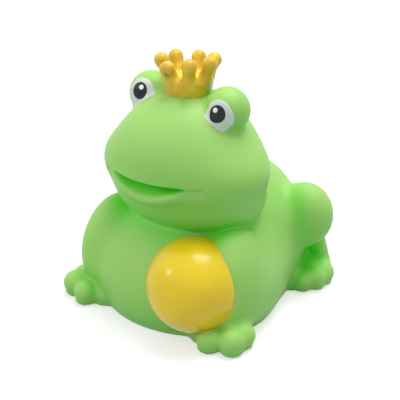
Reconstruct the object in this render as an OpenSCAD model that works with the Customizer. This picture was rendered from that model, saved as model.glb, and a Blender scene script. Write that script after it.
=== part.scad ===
// Squeaky bath toy: a sitting frog with a crown on its head and a ball under its left arm.
// One hollow skin of soft vinyl, painted, with a reed squeaker pressed into its base.
// The base stands on z = 0, the face looks along -Y and the frog's left side is at +X.

/* [Body] */
// Width of the belly
body_w = 64; // [61:1:67]
// Thickness of the vinyl wall
wall = 2.2; // [1.8:0.1:2.6]
// Thickness of the flat base round the squeaker
base_t = 3; // [2.8:0.1:3.4]

/* [Head] */
// Width of the head across the cheeks
head_w = 56.2; // [54.2:0.2:58.2]
// Width of the mouth
mouth_w = 36.4; // [32:0.2:38]
// Depth of the mouth under the upper lip
mouth_deep = 4.8; // [1:0.2:5]
// Diameter of the bump that carries each eye
eye_d = 14; // [13.6:0.2:14.4]
// Diameter of each pupil
pupil_d = 4.8; // [4:0.2:5.2]
// Turn of the left pupil away from the nose, in degrees
left_gaze_out = 10; // [-10:1:12]
// Lift of the left pupil above level, in degrees
left_gaze_up = 7; // [4:1:24]
// Turn of the right pupil away from the nose, in degrees
right_gaze_out = -6; // [-10:1:12]
// Lift of the right pupil above level, in degrees
right_gaze_up = 20; // [4:1:24]

/* [Crown] */
// Diameter of the crown at its foot
crown_d = 14.2; // [13.8:0.2:14.4]
// Height of the balls' centres above the crown's foot
tip_h = 9.5; // [9:0.1:10.5]
// Number of points
crown_points = 7; // [5:1:7]
// Diameter of the ball on each point
tip_d = 4.8; // [4.4:0.1:5]

/* [Ball] */
// Diameter of the ball under the left arm
ball_d = 29.5; // [28.5:0.1:30]

/* [Squeaker] */
// Diameter of the hole in the base
hole_d = 13; // [12.6:0.2:14]
// Height of the squeaker's tube above the floor that the toy stands on
tube_h = 14; // [13.6:0.2:16]
// Width of the reed
reed_w = 3; // [2.4:0.2:3.6]
// Thickness of the reed
reed_t = 0.2; // [0.1:0.05:0.25]

/* [Hidden] */
$fn = 64;

skin_green = [0.55, 0.80, 0.42];
paint_gold = [0.84, 0.68, 0.22];
paint_yellow = [0.92, 0.80, 0.16];
paint_white = [0.88, 0.92, 0.90];
paint_black = [0.13, 0.16, 0.18];
squeaker_white = [0.93, 0.92, 0.88];
reed_clear = [0.80, 0.86, 0.92];

// Gap that keeps one finish clear of the next where the real toy has a line of paint
seat = 0.05;

// Trunk, written for a belly 64 wide and scaled to body_w. An egg is its centre and its radii, and a limb
// is its two ends and their radii.
u = body_w / 64;
belly = [u * [0, -9.2, 10.8], u * [32, 27, 22.3]];
back = [u * [0, 7.8, 14.3], u * [27.8, 33.2, 31.2]];
haunch = [u * [26.3, 20.1, 26], u * [9.3, 8, 10.7]];
shank = [u * [26.7, 26.6, 18], u * [29.3, 28.4, 6], 2.6 * u, 2.4 * u];
arm = [u * [23.9, -18.3, 17.8], u * [8.6, 11, 15.9]];
arm_pitch = -19;
arm_roll = -6.5;

// Feet: the sole as a limb, then balls with their radii for three toes and for the web to the belly
front_sole = [u * [27, -22, 4], u * [29, -26.5, 3.4], 5 * u, 4.2 * u];
front_toes = [[24.6, -32, 3.5, 3.8], [31.2, -29.3, 3.9, 4.1], [32.4, -23.2, 4.1, 3.7],
              [19.5, -28.3, 2.4, 3.6]];
hind_sole = [u * [26, 25, 4], u * [28.6, 21, 4], 4 * u, 3.6 * u];
hind_toes = [[28.4, 16.6, 3.6, 3.4], [31.4, 20.2, 3.8, 3.4], [31.6, 24.8, 3.9, 3.6],
             [25, 17, 2.4, 3.4]];
sole_z = 1.8 * u;
toe_top = 9 * u;
body_c = u * [0, 1, 15];

// Widths of the fillets where one soft shape melts into the next
trunk_melt = 6;
leg_melt = 5;
knee_melt = 2;
arm_melt = 3;
foot_melt = 2.5;
front_toe_melt = 1.6;
hind_toe_melt = 1.5;
jaw_melt = 5;
eye_melt = 1.8;

// Head, written for cheeks 56.2 apart, with heights counted from the neck, and scaled to head_w
v = head_w / 56.2;
neck_z = 33 * u;
function on_head(p) = [0, 0, neck_z] + v * p;
skull = [on_head([0, -9.5, 18.4]), v * [21.3, 22.1, 20.1]];
muzzle = [on_head([0, -10, 14.9]), v * [28.1, 20.7, 14.2]];
jaw = [on_head([0, -8.3, 5.4]), v * [26.1, 17.9, 11.3]];
eye_c = on_head([14.2, -8.4, 34.3]);
eye_r = eye_d / 2;
lip_z = on_head([0, 0, 15.6]).z;
mouth_half = mouth_w / 2;
mouth_gap = 6.8 * v;
lip_ridge = 1.4;
corner_dip = 0.6;
head_c = [0, -8.5 * v, lip_z + 1.9 * v];

// Crown: a flared drum on a flat seat on top of the head, with leaning posts that each droop a little
crown_c = on_head([0, -8.5, 37.3]);
crown_r = crown_d / 2;
crown_flare = 0.17;
drum_h = 5.3;
drum_round = 0.6;
post_ring_r = crown_r - 1.8;
post_z = 3.4;
post_r = 2.2;
post_neck_r = 2;
tip_ring_r = crown_r + 1.2;
tip_drops = [0.6, -0.8, -0.7, 0, 0.8, 0.4, -0.2];
first_point = 257;

ball_r = ball_d / 2;
ball_c = u * [15.2, -26.3, 16.8];

// Film thickness of the paint, and angles that its edges span as seen from the eye's centre
film = 0.25;
white_span = 36;
glint_d = 1.5;
glint_shift = [-5, 8];

// Squeaker: a plug with a flange and a groove, and a tube that holds the reed
hole_r = hole_d / 2;
flange_r = hole_r + 2.4;
flange_t = 0.85;
flange_z = 0.15;
recess_t = flange_z + flange_t + seat;
recess_r = flange_r + 0.2;
groove_r = hole_r - 0.1;
barb_r = hole_r + 0.8;
barb_h = 2.4;
tube_r = hole_r - 1.3;
bore_r = tube_r - 1;
outlet_r = 1.5;
plug_floor_z = 1.3;
ledge_z = 2.4;
ledge_w = 0.8;
block_top = tube_h - 1.8;
insert_r = bore_r - seat;
clamp_gap = 0.1;
clamp_z = 4.5;
clamp_half = 1.1;
nose_r = 0.4;
nose_gap = 0.02;
channel_w = 0.6 * reed_w;
channel_end = block_top - 1;
cap_t = 1;
cap_spigot = 1.2;
cap_hole_r = 0.9;

// Soft shapes: each function gives about the distance from a point to its surface, negative inside
function egg(p, c, r) =
    let (q = p - c)
    let (k = norm([q.x / r.x, q.y / r.y, q.z / r.z]))
    let (g = norm([q.x / (r.x * r.x), q.y / (r.y * r.y), q.z / (r.z * r.z)]))
    k * (k - 1) / max(g, 0.000001);
function limb(p, a, b, ra, rb) =
    let (ab = b - a)
    let (t = max(0, min(1, (p - a) * ab / (ab * ab))))
    norm(p - a - t * ab) - ra - (rb - ra) * t;

// Union of two soft shapes with a fillet about k wide, and a ramp that rises smoothly from 0 to 1
function melt(a, b, k) = let (h = max(k - abs(a - b), 0) / k) min(a, b) - h * h * k / 4;
function ramp(x, from, to) = let (t = max(0, min(1, (x - from) / (to - from)))) t * t * (3 - 2 * t);

// A point as something sees it that is pitched about X and rolled about Y
function tipped(p, pitch, roll) =
    let (y = p.y * cos(pitch) + p.z * sin(pitch))
    let (z = p.z * cos(pitch) - p.y * sin(pitch))
    [p.x * cos(roll) - z * sin(roll), y, p.x * sin(roll) + z * cos(roll)];

function torso(p) = melt(egg(p, belly[0], belly[1]), egg(p, back[0], back[1]), trunk_melt);
function trunk(p) =
    let (shin = limb(p, shank[0], shank[1], shank[2], shank[3]))
    let (leg = melt(egg(p, haunch[0], haunch[1]), shin, knee_melt))
    let (upper_arm = egg(tipped(p - arm[0], arm_pitch, arm_roll), [0, 0, 0], arm[1]))
    melt(melt(torso(p), leg, leg_melt), upper_arm, arm_melt);

function toe(p, t) = norm(p - u * [t.x, t.y, t.z]) - u * t[3];
function foot(p, sole, toes, k, last = 3) =
    last < 0 ? limb(p, sole[0], sole[1], sole[2], sole[3])
             : melt(foot(p, sole, toes, k, last - 1), toe(p, toes[last]), k);

// The mouth is a wedge pressed into the face. It is deepest under the upper lip and runs out at the
// lower one, which is a low ridge that rises to the corners. The corners end in a shallow dip.
function mouth(p) =
    let (drop = lip_z - p.z)
    let (gap = mouth_gap * max(1 - norm([p.x, 3]) / mouth_half, 0.12))
    let (wedge = mouth_deep * (1 - ramp(drop / gap, 0.25, 1.05)) * (1 - ramp(p.x, 8, mouth_half - 2.5)))
    let (dip = corner_dip * (1 - ramp(drop, 0.5, 3.5)) * (1 - ramp(p.x, mouth_half - 1, mouth_half + 0.2)))
    let (lip = lip_ridge * exp(-pow((drop - gap) / 1.4 - 0.4, 2)) * (1 - ramp(p.x, 8, 15)))
    (ramp(drop, -0.2, 0.5) * max(wedge, dip) - lip) * ramp(-p.y, 6, 14);
function bare_head(p) =
    let (face = melt(egg(p, skull[0], skull[1]), egg(p, muzzle[0], muzzle[1]), trunk_melt))
    let (cheeks = melt(face, egg(p, jaw[0], jaw[1]), jaw_melt))
    melt(cheeks, norm(p - eye_c) - eye_r, eye_melt);
function head(p) = bare_head(p) + mouth(p);

// Body with its feet, whose walls drop straight to the base below the soles' rounding
function body(p) =
    let (q = [p.x, p.y, max(p.z, sole_z)])
    let (front_foot = foot(q, front_sole, front_toes, front_toe_melt))
    let (hind_foot = foot(q, hind_sole, hind_toes, hind_toe_melt))
    melt(trunk(q), min(front_foot, hind_foot), foot_melt);

// How far along d from o the outermost point of a shape lies, found by stepping in from afar
function reach(o, d, shape, t = 60, tries = 30) =
    let (gap = shape(o + t * d))
    (tries == 0 || abs(gap) < 0.005) ? t : reach(o, d, shape, t - 0.9 * gap, tries - 1);

// A grid over half the frog. Each row has the point that its rays leave from and the angle at which
// they rise. Turns count from the front, round the left side, to the back.
function hit(o, turn, rise, shape) =
    let (d = [cos(rise) * sin(turn), -cos(rise) * cos(turn), sin(rise)])
    o + reach(o, d, shape) * d;
function half_grid(shape, turns, rows) = [for (r = rows) [for (a = turns) hit(r[0], a, r[1], shape)]];
function level_rows(y, heights) = [for (z = heights) [[0, y, z], 0]];
function fan_rows(c, rises) = [for (e = rises) [c, e]];
function whole_ring(half) =
    concat(half, [for (i = [len(half) - 2:-1:1]) [-half[i].x, half[i].y, half[i].z]]);
function steps(from, to, n) = [for (i = [1:n]) from + (to - from) * i / n];

// Closed skin over a stack of rings. A point closes the top, and another the bottom unless it is flat.
module stacked(rings, high, low = undef) {
    n = len(rings[0]);
    top = len(rings) - 1;
    function at(i, j) = i * n + j % n;
    sides = [for (i = [0:top - 1], j = [0:n - 1])
        each [[at(i, j), at(i + 1, j), at(i + 1, j + 1)], [at(i, j), at(i + 1, j + 1), at(i, j + 1)]]];
    lid = [for (j = [0:n - 1]) [(top + 1) * n, at(top, j + 1), at(top, j)]];
    base = is_undef(low) ? [[for (j = [0:n - 1]) at(0, j)]]
                         : [for (j = [0:n - 1]) [(top + 1) * n + 1, at(0, j), at(0, j + 1)]];
    polyhedron(points = concat([for (r = rings) each r], [high], is_undef(low) ? [] : [low]),
               faces = concat(sides, lid, base));
}

// Even out a half grid: each point moves to the middle of its neighbours and back onto the shape.
// Points on the middle plane stay on it, and the lowest and the highest row stay put.
function pulled(p, shape, free) =
    let (e = 0.02, f = shape(p))
    let (axes = [[e, 0, 0], [0, e, 0], [0, 0, e]])
    let (g = [for (k = [0:2]) free[k] * (shape(p + axes[k]) - f) / e])
    p - f * g / max(g * g, 0.1);
function beside(row, j) =
    j >= 0 && j < len(row) ? row[j] : let (q = row[j < 0 ? 1 : len(row) - 2]) [-q.x, q.y, q.z];
function middle(rows, i, j) =
    (beside(rows[i], j - 1) + beside(rows[i], j + 1) + rows[i - 1][j] + rows[i + 1][j]) / 4;
function settled(rows, i, j, shape) =
    let (inner = j > 0 && j < len(rows[i]) - 1)
    pulled(middle(rows, i, j), shape, [inner ? 1 : 0, 1, 1]);
function evened(rows, shape, rounds) =
    rounds == 0 ? rows : evened(concat(
        [rows[0]],
        [for (i = [1:len(rows) - 2]) [for (j = [0:len(rows[i]) - 1]) settled(rows, i, j, shape)]],
        [rows[len(rows) - 1]]), shape, rounds - 1);

// Half rings over the body, with more columns across the toes and a point that closes them
body_rises = steps(0, 84, 12);
even_rounds = 10;
function body_half() =
    let (turns = concat([0], steps(0, 29, 4), steps(29, 60, 16), steps(60, 110, 7), steps(110, 140, 15),
                        steps(140, 180, 6)))
    let (heights = concat([0], steps(0, toe_top, 7), steps(toe_top, body_c.z, 2)))
    let (rows = concat(level_rows(body_c.y, heights), fan_rows(body_c, body_rises)))
    evened(half_grid(function(p) body(p), turns, rows), function(p) body(p), even_rounds);
body_top = hit(body_c, 0, 90, function(p) body(p));
module body_outside() {
    stacked([for (r = body_half()) whole_ring(r)], body_top, [0, body_c.y, 0]);
}

// Half rings over the head, with rows that follow the lips and a flat seat for the crown
chin_rises = [-70, -50, -36, -24, -12, 0];
lip_drops = [8.4, 7.4, 6.4, 5.4, 4, 2.6, 1.2, 0.5, -0.3];
brow_rises = steps(0, 64, 13);
crown_seat_r = crown_r + 0.3;
brow_rows = concat(level_rows(head_c.y, [head_c.z]), fan_rows(head_c, brow_rises));
function head_half(rows) =
    let (turns = concat([0], steps(0, 180, 36)))
    concat(half_grid(function(p) head(p), turns, rows), [[for (a = turns) on_crown_seat(a)]]);
function on_crown_seat(a) = crown_c + crown_seat_r * [sin(a), -cos(a), 0];
module head_outside() {
    face_rows = level_rows(head_c.y, [for (d = lip_drops) lip_z - d * v]);
    rows = concat(fan_rows(jaw[0], chin_rises), face_rows, brow_rows);
    stacked([for (r = head_half(rows)) whole_ring(r)], crown_c, hit(jaw[0], 0, -90, function(p) head(p)));
}

// Sectors of the body and the head, closed along a line inside, that trim what is painted on them
belly_line_rise = 1.5;
brow_line_rise = 0.5;
module sector(rings, c, rise, high) {
    stacked([for (i = [0:len(rings) - 1]) concat([c + [0, 0, i * rise]], rings[i])], high);
}
function flipped(row) = [for (i = [len(row) - 1:-1:0]) [-row[i].x, row[i].y, row[i].z]];
module belly_sector() {
    across = 3;
    round = 23;
    rings = [for (r = body_half())
        concat(flipped([for (j = [1:across]) r[j]]), [for (j = [0:round]) r[j]])];
    sector(rings, [0, body_c.y, 0], belly_line_rise, body_top);
}
module brow_sector(side) {
    sector([for (r = head_half(brow_rows)) side > 0 ? r : flipped(r)], head_c, brow_line_rise, crown_c);
}

// Air chamber: the inside of the wall in the torso and in the head, which leaves the limbs solid
module air_chamber() {
    turns = concat([0], steps(0, 180, 18));
    in_torso = function(p) torso(p) + wall;
    behind_mouth = function(p) ramp(-p.y, 6, 14) * (1 - ramp(abs(p.z - lip_z + mouth_gap / 2), 4, 10));
    in_head = function(p) bare_head(p) + wall + mouth_deep * behind_mouth(p);
    torso_rows = concat(level_rows(body_c.y, concat([base_t], steps(base_t, body_c.z, 3))),
                        fan_rows(body_c, steps(0, 80, 7)));
    head_rows = concat(fan_rows(jaw[0], [-60, -30, 0]), level_rows(head_c.y, steps(jaw[0].z, head_c.z, 5)),
                       fan_rows(head_c, steps(0, 75, 6)));
    stacked([for (r = half_grid(in_torso, turns, torso_rows)) whole_ring(r)], hit(body_c, 0, 90, in_torso));
    stacked([for (r = half_grid(in_head, turns, head_rows)) whole_ring(r)],
            hit(head_c, 0, 90, in_head), hit(jaw[0], 0, -90, in_head));
}

// Soft skin: body, head, limbs and feet in one moulding, with a stepped hole for the squeaker
module vinyl_skin() {
    color(skin_green) difference() {
        union() {
            body_outside();
            head_outside();
        }
        air_chamber();
        translate([0, 0, -base_t]) cylinder(r = hole_r, h = 3 * base_t);
        translate([0, 0, -base_t]) cylinder(r = recess_r, h = base_t + recess_t);
    }
}

// Crown: a flared drum with leaning posts round it and a ball on each post
module crown() {
    rim_r = crown_r + crown_flare * drum_h;
    color(paint_gold) translate(crown_c + [0, 0, seat]) {
        rotate_extrude() polygon([[0, 0], [crown_r, 0],
                                  [rim_r - crown_flare * drum_round, drum_h - drum_round],
                                  [rim_r - drum_round, drum_h], [0, drum_h]]);
        for (i = [0:crown_points - 1]) rotate([0, 0, first_point + i * 360 / crown_points])
            crown_post(tip_h - tip_drops[i]);
    }
}
module crown_post(high) {
    lean = atan2(tip_ring_r - post_ring_r, high - post_z);
    long = norm([tip_ring_r - post_ring_r, high - post_z]);
    translate([post_ring_r, 0, post_z]) rotate([0, lean, 0])
        cylinder(r1 = post_r, r2 = post_neck_r, h = long, $fn = 32);
    translate([tip_ring_r, 0, high]) sphere(d = tip_d, $fn = 32);
}

// Ball: what shows of a sphere that is moulded into the belly and the arm
module ball() {
    color(paint_yellow) translate([0, -seat, 0]) difference() {
        translate(ball_c) sphere(r = ball_r, $fn = 96);
        belly_sector();
    }
}

// Painted eyes: films on the bumps, a wide one in white, a pupil on it and a glint on the pupil
module eye_film(side, out, up, layer) {
    low = eye_r + seat + layer * (film + seat);
    translate([side * eye_c.x, eye_c.y, eye_c.z]) rotate([90 - up, 0, side * out])
        difference() {
            intersection() {
                sphere(r = low + film);
                children();
            }
            sphere(r = low);
        }
}
module eye_white(side, out, up) {
    color(paint_white) difference() {
        eye_film(side, out, up, 0)
            cylinder(r1 = 0, r2 = eye_d * tan(white_span), h = eye_d);
        brow_sector(side);
    }
}
module pupil(side, out, up) {
    color(paint_black) difference() {
        eye_film(side, out, up, 1) cylinder(d = pupil_d, h = eye_d);
        brow_sector(side);
    }
}
module glint(side, out, up) {
    color(paint_white) eye_film(side, out + glint_shift.x, up + glint_shift.y, 2)
        cylinder(d = glint_d, h = eye_d);
}
module left_eye_white() eye_white(1, left_gaze_out, left_gaze_up);
module left_pupil() pupil(1, left_gaze_out, left_gaze_up);
module left_glint() glint(1, left_gaze_out, left_gaze_up);
module right_eye_white() eye_white(-1, right_gaze_out, right_gaze_up);
module right_pupil() pupil(-1, right_gaze_out, right_gaze_up);
module right_glint() glint(-1, right_gaze_out, right_gaze_up);

// Squeaker housing: flange under the base, groove that the base snaps into, barb and tube above
module squeaker_housing() {
    groove_z = flange_z + flange_t;
    barb_z = base_t + seat;
    color(squeaker_white) rotate_extrude() polygon([
        [outlet_r, flange_z], [flange_r - 0.3, flange_z], [flange_r, flange_z + 0.3], [flange_r, groove_z],
        [groove_r, groove_z], [groove_r, barb_z], [barb_r, barb_z], [barb_r, barb_z + 0.5],
        [tube_r, barb_z + barb_h], [tube_r, tube_h], [bore_r, tube_h], [bore_r, ledge_z],
        [bore_r - ledge_w, ledge_z], [bore_r - ledge_w, plug_floor_z], [outlet_r, plug_floor_z]]);
}

// Part of a rod that fills the bore, on one side of the reed
module half_rod(side, from, to) {
    face = reed_t / 2 + clamp_gap;
    intersection() {
        translate([0, 0, from]) cylinder(r = insert_r, h = to - from);
        translate([-bore_r, side > 0 ? face : -face - 2 * bore_r, from])
            cube([2 * bore_r, 2 * bore_r, to - from]);
    }
}

// Reed block: half a rod whose flat face has the air channel that the reed covers
module reed_block() {
    color(squeaker_white) difference() {
        half_rod(1, ledge_z + seat, block_top);
        translate([-channel_w / 2, -1, 0]) cube([channel_w, 1 + insert_r / 2, channel_end]);
    }
}

// Reed: a thin springy strip, held near its foot and free at its upper end
module reed() {
    color(reed_clear) translate([-reed_w / 2, -reed_t / 2, clamp_z - clamp_half + seat])
        cube([reed_w, reed_t, block_top - clamp_z + clamp_half - 0.5]);
}

// Reed wedge: the other half of the rod, only as high as the clamp, with a nose that holds the reed
module reed_wedge() {
    color(squeaker_white) union() {
        half_rod(-1, ledge_z + seat, clamp_z + clamp_half);
        translate([-reed_w / 2, -reed_t / 2 - nose_gap - nose_r, clamp_z]) rotate([0, 90, 0])
            cylinder(r = nose_r, h = reed_w);
    }
}

// Squeaker cap: a lid with a spigot in the tube and holes that let the air through
module squeaker_cap() {
    color(squeaker_white) difference() {
        union() {
            translate([0, 0, tube_h + seat]) cylinder(r = tube_r, h = cap_t);
            translate([0, 0, tube_h - cap_spigot]) cylinder(r = insert_r, h = cap_spigot + cap_t);
        }
        for (i = [0:3]) rotate([0, 0, 45 + 90 * i]) translate([bore_r / 2, 0, 0])
            cylinder(r = cap_hole_r, h = 2 * tube_h);
    }
}

vinyl_skin();
crown();
ball();
left_eye_white();
left_pupil();
left_glint();
right_eye_white();
right_pupil();
right_glint();
squeaker_housing();
reed_block();
reed();
reed_wedge();
squeaker_cap();
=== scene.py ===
# %% [markdown]
# # A squeaky frog for the bath
#
# The toy is a hollow frog of soft green vinyl with a painted crown, ball and eyes, and a squeaker
# pressed into its base. The CAD model already has every piece in its place and says how the pieces
# move. This lesson dresses it: it works out smooth skins with numpy, gives each finish a procedural
# material, and sets the toy on a pale table in soft light.
#
# Everything here is in the CAD model's own frame: Z is up, the face looks along -Y, and the frog's
# left side is at +X. Shapes are worked out in millimetres, as on a drawing, and become metres only
# when they are put into a mesh.

# %% Load the frame
import math

import bpy
import numpy as np
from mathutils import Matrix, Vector


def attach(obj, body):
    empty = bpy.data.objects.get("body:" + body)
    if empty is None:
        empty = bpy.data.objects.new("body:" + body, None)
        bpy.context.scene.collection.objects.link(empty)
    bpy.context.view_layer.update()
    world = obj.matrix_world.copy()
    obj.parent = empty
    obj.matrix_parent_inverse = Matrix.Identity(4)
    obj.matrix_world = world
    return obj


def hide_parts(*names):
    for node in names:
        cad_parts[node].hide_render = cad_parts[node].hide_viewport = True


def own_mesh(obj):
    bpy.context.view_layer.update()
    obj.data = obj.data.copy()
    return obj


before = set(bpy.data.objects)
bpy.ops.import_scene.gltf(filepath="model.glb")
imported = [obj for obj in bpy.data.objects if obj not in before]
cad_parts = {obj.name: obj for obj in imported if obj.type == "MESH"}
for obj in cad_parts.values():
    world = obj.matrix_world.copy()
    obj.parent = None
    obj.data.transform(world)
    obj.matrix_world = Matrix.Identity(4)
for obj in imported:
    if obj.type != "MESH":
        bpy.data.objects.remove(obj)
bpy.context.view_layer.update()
MM = 0.001

# %% [markdown]
# ## Where the camera stands
#
# The photograph looks down on the frog from its left front. An azimuth counts from straight ahead of
# the face towards the frog's left, and an elevation counts up from level. A camera could be dragged
# into place by eye, but angles and a distance are easier to read and to change. A long lens from about
# 30 cm keeps the snout from swelling.

# %% Camera
AZIMUTH, ELEVATION, DISTANCE = 36.0, 24.3, 320.0
AIM = np.array([1.74, -4.90, 33.44])
LENS = 90.27
NEAREST, FARTHEST = 10.0, 20000.0


def direction(azimuth, elevation):
    """Unit vectors out from the middle: turn by azimuth from -Y towards +X, then rise by elevation."""
    a, e = np.radians(azimuth), np.radians(elevation)
    return np.stack([np.sin(a) * np.cos(e), -np.cos(a) * np.cos(e), np.sin(e) + 0 * a], axis=-1)


def aim(thing, spot, target):
    """Put a lamp or camera at spot, in mm, with its -Z axis pointing at target."""
    thing.location = Vector(spot) * MM
    look = Vector(target) - Vector(spot)
    thing.rotation_euler = look.to_track_quat("-Z", "Y").to_euler()


camera = bpy.data.objects.new("camera", bpy.data.cameras.new("camera"))
camera.data.lens = LENS
camera.data.clip_start, camera.data.clip_end = NEAREST * MM, FARTHEST * MM
bpy.context.scene.collection.objects.link(camera)
bpy.context.scene.camera = camera
aim(camera, AIM + DISTANCE * direction(AZIMUTH, ELEVATION), AIM)
print("camera at", [round(x, 3) for x in camera.location])

# %% [markdown]
# ## A pale table
#
# The toy stands on a white sheet that has no visible end. A curved backdrop would do, but a flat square
# that ends far out of sight is simpler. The sheet is plain card in every bounce of light, so it takes the
# toy's shadow. What looks straight at it also meets a glow, which makes it white without putting more
# light on the toy. The Light Path node tells such rays, from the camera, a mirror or something clear,
# from the rays that carry light between things.

# %% Table
TABLE_HALF = 3000.0
CARD_GREY, CARD_GLOW = 0.5, 0.55


def add(nodes, kind, values=(), **settings):
    """A new node with its settings; values maps an input socket's name or number to its value."""
    made = nodes.new("ShaderNode" + kind)
    for name, value in settings.items():
        setattr(made, name, value)
    for socket, value in dict(values).items():
        made.inputs[socket].default_value = value
    return made


def new_material(name):
    """A material with an empty node tree; returns (material, nodes, link)."""
    made = bpy.data.materials.new(name)
    made.use_nodes = True
    nodes = made.node_tree.nodes
    nodes.clear()
    return made, nodes, made.node_tree.links.new


def looks_straight(tree):
    """Socket that is 1 for a ray from the camera, a mirror or something clear, and 0 for any other."""
    path = add(tree.nodes, "LightPath")
    mask = path.outputs["Is Camera Ray"]
    for ray in ("Is Glossy Ray", "Is Transmission Ray"):
        either = add(tree.nodes, "Math", operation="MAXIMUM")
        tree.links.new(mask, either.inputs[0])
        tree.links.new(path.outputs[ray], either.inputs[1])
        mask = either.outputs[0]
    return mask


def white_card():
    """White card: plain diffuse in every bounce, with a glow for what looks straight at it."""
    made, nodes, link = new_material("white_card")
    card = add(nodes, "BsdfDiffuse", {"Color": (CARD_GREY, CARD_GREY, CARD_GREY, 1)})
    strength = add(nodes, "Math", {1: CARD_GLOW}, operation="MULTIPLY")
    glow = add(nodes, "Emission")
    card_and_glow = add(nodes, "AddShader")
    out = add(nodes, "OutputMaterial")
    link(looks_straight(made.node_tree), strength.inputs[0])
    link(strength.outputs[0], glow.inputs["Strength"])
    link(card.outputs[0], card_and_glow.inputs[0])
    link(glow.outputs[0], card_and_glow.inputs[1])
    link(card_and_glow.outputs[0], out.inputs["Surface"])
    return made


corners = np.array([[-1, -1, 0], [1, -1, 0], [1, 1, 0], [-1, 1, 0]]) * TABLE_HALF * MM
table_mesh = bpy.data.meshes.new("table")
table_mesh.from_pydata(corners.tolist(), [], [(0, 1, 2, 3)])
table_mesh.materials.append(white_card())
table = bpy.data.objects.new("table", table_mesh)
bpy.context.scene.collection.objects.link(table)
print("table", 2 * TABLE_HALF, "mm square")

# %% [markdown]
# ## Soft light
#
# Above the sheet the room looks plain white. The light that it gives is brighter up in front, towards
# the frog's right, than behind it. A picture of a studio could do that, but here a formula does: the
# strength follows the dot product of each direction with one way. Two soft boxes, a wide round one
# overhead and a small one at the frog's right front, give the two reflections on the glossy ball.

# %% Room and lamps
ROOM_BRIGHT, ROOM_DIM = 0.94, 0.06
ROOM_WAY = direction(-50.0, 64.0)
MIDDLE = (0.0, -3.0, 38.0)


def soft_box(name, azimuth, elevation, away, size, watts):
    """A round lamp, size mm across, away mm from the toy in the given direction, aimed at its middle."""
    lamp = bpy.data.lights.new(name, "AREA")
    lamp.shape = "DISK"
    lamp.size = size * MM
    lamp.energy = watts
    made = bpy.data.objects.new(name, lamp)
    bpy.context.scene.collection.objects.link(made)
    aim(made, np.array(MIDDLE) + away * direction(azimuth, elevation), MIDDLE)
    return made


def studio():
    """A world that looks white, and lights things from ROOM_DIM up to ROOM_BRIGHT towards ROOM_WAY."""
    made = bpy.data.worlds.new("studio")
    made.use_nodes = True
    nodes, link = made.node_tree.nodes, made.node_tree.links.new
    sky = nodes["Background"]
    sky.inputs["Color"].default_value = (1, 1, 1, 1)
    coordinates = add(nodes, "TexCoord")
    facing = add(nodes, "VectorMath", {1: ROOM_WAY}, operation="DOT_PRODUCT")
    level = add(nodes, "MapRange", {
        "From Min": -1.0, "From Max": 1.0, "To Min": ROOM_DIM, "To Max": ROOM_BRIGHT})
    strength = add(nodes, "Math", operation="MAXIMUM")
    link(coordinates.outputs["Generated"], facing.inputs[0])
    link(facing.outputs["Value"], level.inputs["Value"])
    link(level.outputs["Result"], strength.inputs[0])
    link(looks_straight(made.node_tree), strength.inputs[1])
    link(strength.outputs[0], sky.inputs["Strength"])
    return made


bpy.context.scene.world = studio()
lamps = [
    soft_box("overhead", azimuth=160.0, elevation=74.0, away=700.0, size=420.0, watts=3.4),
    soft_box("right_front", azimuth=-43.0, elevation=30.0, away=700.0, size=130.0, watts=0.5)]
bpy.context.scene.view_settings.view_transform = "Standard"
print("room light from", ROOM_DIM, "to", ROOM_BRIGHT, "and soft boxes", [lamp.name for lamp in lamps])

# %% [markdown]
# ## Soft shapes
#
# A moulded toy has no straight edges to draw. It could be sculpted by hand, but it is easier to
# describe as a field: a formula that gives, for any point, about how far it is from the surface,
# negative inside. An egg, a tapered limb and a smooth union are enough. Where two fields are nearly
# equal, the union dips below both, and that dip is the fillet where one form melts into the next.
# Whole arrays of points go through each formula at once.

# %% Eggs, limbs and how they melt together
def place(*xyz):
    """A point or a set of radii as an array."""
    return np.array(xyz, float)


def length(v):
    """Length of the vectors along the last axis."""
    return np.sqrt((v * v).sum(-1))


def egg(p, middle, radii):
    """Ellipsoid. With k the length of (p - middle) / radii and g the length of that over radii again,
    k (k - 1) / g is about the distance to the surface."""
    q = (p - middle) / radii
    k = length(q)
    return k * (k - 1) / np.maximum(length(q / radii), 1e-6)


def limb(p, a, b, radius_a, radius_b):
    """Tapered rod with round ends: distance to the nearest point of the line a-b, less the radius there."""
    along = np.clip(((p - a) @ (b - a)) / ((b - a) @ (b - a)), 0, 1)
    return length(p - a - along[..., None] * (b - a)) - radius_a - (radius_b - radius_a) * along


def melt(f, g, width):
    """Smooth union: the smaller field, less h^2 width / 4. As the fields part by width, h falls from
    1 to 0."""
    h = np.maximum(width - np.abs(f - g), 0) / width
    return np.minimum(f, g) - h * h * width / 4


def ramp(x, start, end):
    """Rises smoothly from 0 at start to 1 at end: t^2 (3 - 2t)."""
    t = np.clip((x - start) / (end - start), 0, 1)
    return t * t * (3 - 2 * t)


print("a ball of radius 5 seen from 7 away:", float(egg(place(7, 0, 0), place(0, 0, 0), place(5, 5, 5))))

# %% [markdown]
# ## The frog's trunk and limbs
#
# The belly and the back are two eggs. Each hind leg is an egg for the haunch and a thin shank, each arm
# is an egg that leans, and each foot is a sole with three round toes. Nearly all the places and radii
# are the ones that the CAD model is built from, so the smooth skin lies over the facets of the solid.
# The frog is the same on both sides, so only its left half, where x is positive, is worked out.

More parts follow.
